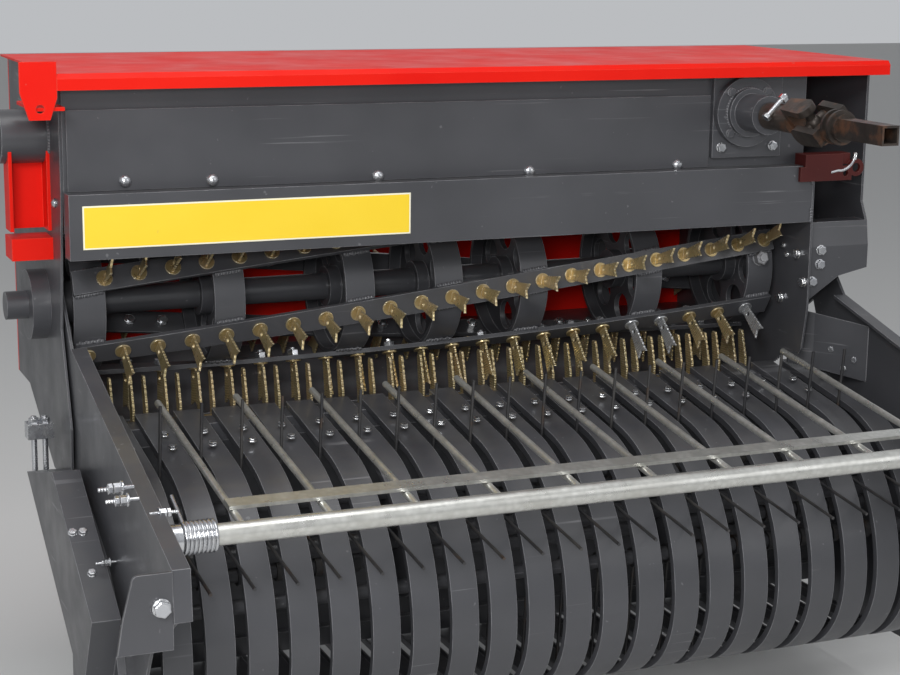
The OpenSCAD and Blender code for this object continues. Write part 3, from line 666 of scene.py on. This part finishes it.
def scatter(kind, name, places, body, finish):
    copies = []
    for point, outward, turn, size in places:
        copy = masters[kind].copy()
        copy.data = masters[kind].data.copy()
        copy.hide_render = False
        bpy.context.scene.collection.objects.link(copy)
        aim = Vector(outward).to_track_quat("Z", "Y").to_matrix().to_4x4()
        spin = Matrix.Rotation(turn, 4, "Z")
        copy.data.transform(Matrix.Translation(point) @ aim @ spin @ Matrix.Scale(size, 4))
        copies.append(copy)
    piece = join(copies, name)
    piece.data.materials.clear()
    piece.data.materials.append(finish)
    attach(piece, body)
    print(name, len(places))


print("heads can point", TO_FRONT, TO_LEFT, TO_RIGHT, "or any other way")

# %% [markdown]
# ### Bolts on the bands and nuts in the rotor
# Where these go follows from the sheets that they hold: two bolts on each stripper band
# in front of the comb, on its slope, and one nut behind each knife on the inner side of
# its twisted bar. Near a disc there is no knife, and so no nut.

# %% Stripper band bolts
BAND_PITCH = 0.070
BAND_WIDTH = 0.048
BAND_SLOPE = math.radians(9)
BAND_END = Vector((0, -0.400, -0.1785))
BAND_BOLT_ROWS = (-0.530, -0.585)

low_band, high_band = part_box("stripper_bands")
first_band = low_band[0] + BAND_WIDTH / 2
band_count = round((high_band[0] - low_band[0] - BAND_WIDTH) / BAND_PITCH) + 1
band_normal = (0, -math.sin(BAND_SLOPE), math.cos(BAND_SLOPE))
band_places = []
for index in range(band_count):
    for y in BAND_BOLT_ROWS:
        z = BAND_END.z + (y - BAND_END.y) * math.tan(BAND_SLOPE)
        band_places.append(((first_band + BAND_PITCH * index, y, z), band_normal,
                            0.4 * index, 0.62))
scatter("bolt", "band_bolts", band_places, "pickup", bright_zinc)

# %% Knife nuts inside the bars
BARS = 6
BAR_START, BAR_TWIST, BAR_APART = -34.5, 63.8, 60
BAR_INSIDE = 0.125
DRUM = 1.396
DISC_END = 0.670
DISC_SHARES = (-1, -0.627, -0.261, 0, 0.261, 0.627, 1)
KNIFE_PITCH = 0.0614
KNIFE_COUNT = 23
KNIFE_SHIFT = 0.002
CLEAR_OF_END = 0.014
CLEAR_OF_DISC = 0.040


def bar_angle(bar, x):
    return math.radians(BAR_START + BAR_TWIST * (x + DISC_END) / DRUM + BAR_APART * bar)


def away_from_shaft(angle):
    return Vector((0, -math.cos(angle), math.sin(angle)))


knife_places = []
for bar in range(BARS):
    shift = KNIFE_SHIFT if bar % 2 == 0 else KNIFE_PITCH / 2 + KNIFE_SHIFT
    for index in range(KNIFE_COUNT):
        x = (index - (KNIFE_COUNT - 1) / 2) * KNIFE_PITCH + shift
        to_disc = min(abs(x - share * DISC_END) for share in DISC_SHARES)
        if x > DRUM / 2 - CLEAR_OF_END or to_disc < CLEAR_OF_DISC:
            continue
        angle = bar_angle(bar, x)
        outward = away_from_shaft(angle)
        point = Vector((x, ROTOR_Y, 0)) + outward * BAR_INSIDE
        knife_places.append((tuple(point), tuple(-outward), angle, 1.0))
scatter("nut", "knife_nuts", knife_places, "rotor", bright_zinc)

# %% [markdown]
# ### Bolts on the housing
# These were read off the photograph on the plane of each plate. The cover's button heads
# stand in a slightly sagging row, the bearing plate has a bolt in each corner, and the
# hub's flange has four, painted over with the plate. The yoke is split, and a long bolt
# across its slot clamps it on the shaft.

# %% Cover bolts
COVER_BOLTS = ((-0.618, 0.236), (-0.467, 0.232), (-0.165, 0.228), (0.130, 0.226), (0.438, 0.227))
cover_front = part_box("cover_plate")[0][1]
cover_places = [((x, cover_front, z), TO_FRONT, 0, 1.0) for x, z in COVER_BOLTS]
scatter("button", "cover_bolts", cover_places, "housing", bright_zinc)

# %% Bearing plate and hub flange
FLANGE_FRONT = 0.074
FLANGE_RADIUS = 0.055

low_plate, high_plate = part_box("bearing_plate")
plate_places = [((x, low_plate[1], z), TO_FRONT, 0.3, 0.8)
                for x in (low_plate[0] + 0.018, high_plate[0] - 0.018)
                for z in (low_plate[2] + 0.020, high_plate[2] - 0.016)]
scatter("bolt", "bearing_bolts", plate_places, "housing", bright_zinc)

low_hub, high_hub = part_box("input_hub")
hub_x, hub_z = (low_hub[0] + high_hub[0]) / 2, (low_hub[2] + high_hub[2]) / 2
flange_front = low_hub[1] + FLANGE_FRONT
flange_places = []
for quarter in range(4):
    angle = math.radians(45 + 90 * quarter)
    x = hub_x + FLANGE_RADIUS * math.cos(angle)
    z = hub_z + FLANGE_RADIUS * math.sin(angle)
    flange_places.append(((x, flange_front, z), TO_FRONT, angle, 0.70))
scatter("bolt", "flange_bolts", flange_places, "housing", grey_paint)

# %% Clamp bolt of the yoke
CLAMP_Y = -0.628
CLAMP_FROM_AXIS = 0.0265
CLAMP_REACH = 0.026

clamp_way = Vector((0.707, 0, 0.707))
clamp_side = Vector((-0.707, 0, 0.707))
clamp_place = (Vector((hub_x, CLAMP_Y, hub_z)) + clamp_side * CLAMP_FROM_AXIS
               - clamp_way * CLAMP_REACH)
scatter("clamp_bolt", "yoke_bolt", [(tuple(clamp_place), tuple(clamp_way), 0.4, 1.0)],
        "input", bright_zinc)

# %% Bolts on the right side sheet and the drive bay
BAY_FRONT = -0.500
SHEET_BOLTS = ((-0.480, 0.041), (-0.506, -0.011), (-0.427, -0.055))
SHEET_SCREWS = ((-0.428, 0.051), (-0.441, 0.034))
BAY_BOLTS = ((0.758, 0.050), (0.757, 0.022), (0.741, -0.012))

sheet_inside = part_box("side_sheet_right")[0][0]
right_places = [((sheet_inside, y, z), TO_LEFT, 0.4, 0.85) for y, z in SHEET_BOLTS]
right_places += [((sheet_inside, y, z), TO_LEFT, 0.1, 0.5) for y, z in SHEET_SCREWS]
right_places += [((x, BAY_FRONT, z), TO_FRONT, 0.2, 0.85) for x, z in BAY_BOLTS]
scatter("bolt", "bay_bolts", right_places, "housing", bright_zinc)

# %% [markdown]
# ### Bolts on the pick-up's side plates
# The arm on the left plate has a sloping flange, so its bolts stand square to that slope.
# Studs stand out of the plate near the guard's pivot and under the arm, each with a lock
# nut on its thread. On the right the bolts sit on the deflector, which is bent to a slant.

# %% Bolts on the left arm and its bracket
ARM_SLOPE = math.radians(29.3)
ARM_BOLTS = ((-0.768, -0.715, -0.296), (-0.752, -0.716, -0.2966), (-0.755, -0.794, -0.3404))

arm_normal = (0, -math.sin(ARM_SLOPE), math.cos(ARM_SLOPE))
left_places = [(point, arm_normal, 0.5, 0.62) for point in ARM_BOLTS]
bracket_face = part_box("side_bracket")[0][1]
left_places.append(((-0.733, bracket_face, -0.275), TO_FRONT, 0.2, 1.15))
scatter("bolt", "side_bolts", left_places, "pickup", bright_zinc)

# %% Studs with lock nuts through the left plate
PLATE_THICKNESS = 0.005
OUTER_STUDS = ((-0.931, -0.164, 1.0), (-0.962, -0.174, 0.92), (-0.800, -0.322, 0.62))

plate_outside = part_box("pickup_side_left")[0][0]
stud_places = [((plate_outside, y, z), TO_LEFT, 0.3 * index, size)
               for index, (y, z, size) in enumerate(OUTER_STUDS)]
plate_inside = plate_outside + PLATE_THICKNESS
stud_places.append(((plate_inside, -1.004, -0.186), TO_RIGHT, 0.2, 0.8))
scatter("stud", "plate_studs", stud_places, "pickup", bright_zinc)

# %% Small bolts on the deflector and the side flange
BEND_X, BEND_Y = 0.769, -0.480
SLANT_ACROSS, SLANT_BACK = 0.062, 0.088
DEFLECTOR_BOLTS = ((0.790, -0.150), (0.818, -0.165), (0.806, -0.185))


def on_deflector(x):
    return BEND_Y - (x - BEND_X) / SLANT_ACROSS * SLANT_BACK


slant_normal = Vector((-SLANT_BACK, -SLANT_ACROSS, 0)).normalized()
deflector_places = [((x, on_deflector(x), z), tuple(slant_normal), 0.3, 0.6)
                    for x, z in DEFLECTOR_BOLTS]
scatter("bolt", "deflector_bolts", deflector_places, "pickup", bright_zinc)

flange_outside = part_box("side_sheet_left")[0][0]
scatter("button", "flange_bolt", [((flange_outside, -0.423, 0.195), TO_LEFT, 0, 0.8)],
        "housing", bright_zinc)

# %% [markdown]
# ### Large nut
# One large nut with its washer stands on the rim of the rotor's last disc on the right.
# The crop keeps it bare and smooth, so it has an oily steel of its own.

# %% Large nut on the right rim
RIM = 0.1247
RIM_NUT_X = 0.667

rim_angle = math.radians(12)
rim_out = away_from_shaft(rim_angle)
rim_place = Vector((RIM_NUT_X, ROTOR_Y, 0)) + rim_out * RIM
scatter("big_nut", "rim_nut", [(tuple(rim_place), tuple(rim_out), 0.2, 0.92)],
        "rotor", oiled_steel)

# %% [markdown]
# ## Weld beads
# The bars are welded to the rims of the discs and the beam's end to the side sheet, and
# the round tube and the hub have a bead all round. A weld is a row of overlapping drops,
# so one low drop is modelled and repeated every few millimetres along each joint, a
# little off line as a hand lays it.

# %% A line and a ring of drops
BEAD_STEP = 0.0052
BEAD_WOBBLE = 0.0007


def weld_line(start, end, outward, salt):
    count = max(2, int((Vector(end) - Vector(start)).length / BEAD_STEP) + 1)
    made = []
    for index in range(count):
        wobble = BEAD_WOBBLE * math.sin(3.1 * index + salt)
        point = Vector(start).lerp(Vector(end), index / (count - 1)) + Vector((0, 0, wobble))
        size = 0.9 + 0.12 * math.sin(2.3 * index + salt)
        made.append((tuple(point), outward, 0.9 * index, size))
    return made


print("a drop every", BEAD_STEP, "m")

# %% Welds between bars and rims
BAR_HALF = 0.021
RIM_HALF = 0.028
BEAD_SUNK, BEAD_BESIDE, BEAD_INSET = 0.0005, 0.0015, 0.006

lead = math.radians(BAR_TWIST) * RIM_HALF / DRUM * RIM
rim_welds = []
for bar in range(BARS):
    for share in DISC_SHARES:
        station = share * DISC_END
        angle = bar_angle(bar, station)
        outward = away_from_shaft(angle)
        along = Vector((0, math.sin(angle), math.cos(angle)))
        for side in (-1, 1):
            base = (Vector((0, ROTOR_Y, 0)) + outward * (RIM - BEAD_SUNK)
                    + along * side * (BAR_HALF + BEAD_BESIDE))
            tilt = (outward + along * side).normalized()
            start = base + Vector((station - RIM_HALF + BEAD_INSET, 0, 0)) - along * lead
            end = base + Vector((station + RIM_HALF - BEAD_INSET, 0, 0)) + along * lead
            rim_welds += weld_line(start, end, tuple(tilt), bar + share)
scatter("bead", "rim_welds", rim_welds, "rotor", grey_paint)

# %% Welds on the housing
BEAM_WELDS = ((0.112, 0.134), (0.186, 0.218))
TUBE_DROPS = 54
HUB_DROPS, HUB_WELD_RADIUS = 58, 0.0462

beam_low, beam_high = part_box("channel_beam")
beam_x = beam_high[0] - 0.001
housing_welds = []
for z0, z1 in BEAM_WELDS:
    housing_welds += weld_line((beam_x, beam_low[1], z0), (beam_x, beam_low[1], z1), TO_FRONT, z0)

tube_low, tube_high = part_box("cross_tube")
tube_y, tube_z = (tube_low[1] + tube_high[1]) / 2, (tube_low[2] + tube_high[2]) / 2
tube_r = (tube_high[1] - tube_low[1]) / 2
for index in range(TUBE_DROPS):
    angle = 2 * math.pi * index / TUBE_DROPS
    out = Vector((-0.5, math.cos(angle), math.sin(angle))).normalized()
    point = (tube_high[0], tube_y + tube_r * math.cos(angle), tube_z + tube_r * math.sin(angle))
    housing_welds.append((point, tuple(out), angle, 1.0 + 0.1 * math.sin(7 * angle)))

for index in range(HUB_DROPS):
    angle = 2 * math.pi * index / HUB_DROPS
    out = Vector((math.cos(angle), -0.7, math.sin(angle))).normalized()
    point = (hub_x + HUB_WELD_RADIUS * math.cos(angle), flange_front,
             hub_z + HUB_WELD_RADIUS * math.sin(angle))
    housing_welds.append((point, tuple(out), angle, 0.8))
scatter("bead", "housing_welds", housing_welds, "housing", grey_paint)

# %% [markdown]
# ## Hook beside the drive line
# A bent rod stands on the eye of the rest, to hold the drive line up when it is taken
# off. It starts as a disc, which is drawn up, spun round its bend and drawn out again.

# %% Hook
HOOK_FOOT = (0.8095, -0.526, 0.229)
HOOK_RADIUS = 0.0032
HOOK_RISE = 0.014
BEND_RADIUS = 0.034
BEND_ANGLE = math.radians(-98)
HOOK_TIP = (-0.016, 0, -0.003)

bpy.ops.object.select_all(action="DESELECT")
bpy.ops.mesh.primitive_circle_add(vertices=12, radius=HOOK_RADIUS, fill_type="NGON",
                                  location=HOOK_FOOT)
bpy.ops.object.transform_apply(location=True, rotation=True, scale=True)
hook = bpy.context.object
hook.name = "rest_hook"
open_mesh(hook)
bpy.ops.mesh.select_all(action="SELECT")
bpy.ops.mesh.extrude_region_move(TRANSFORM_OT_translate={"value": (0, 0, HOOK_RISE)})
bpy.ops.mesh.spin(steps=9, angle=BEND_ANGLE, axis=(0, 1, 0),
                  center=(HOOK_FOOT[0] - BEND_RADIUS, HOOK_FOOT[1], HOOK_FOOT[2] + HOOK_RISE))
bpy.ops.mesh.extrude_region_move(TRANSFORM_OT_translate={"value": HOOK_TIP})
bpy.ops.mesh.select_all(action="SELECT")
bpy.ops.mesh.normals_make_consistent(inside=False)
close_mesh()
bpy.ops.object.shade_smooth_by_angle(angle=math.radians(40))
hook.data.materials.append(bright_zinc)
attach(hook, "housing")
hook_top = max(v.co.z for v in hook.data.vertices)
print("hook", len(hook.data.polygons), "faces, top", round(hook_top, 3))

# %% [markdown]
# ## Finish
# The masters have done their work and go.

# %% Finish
for master in masters.values():
    bpy.data.objects.remove(master)
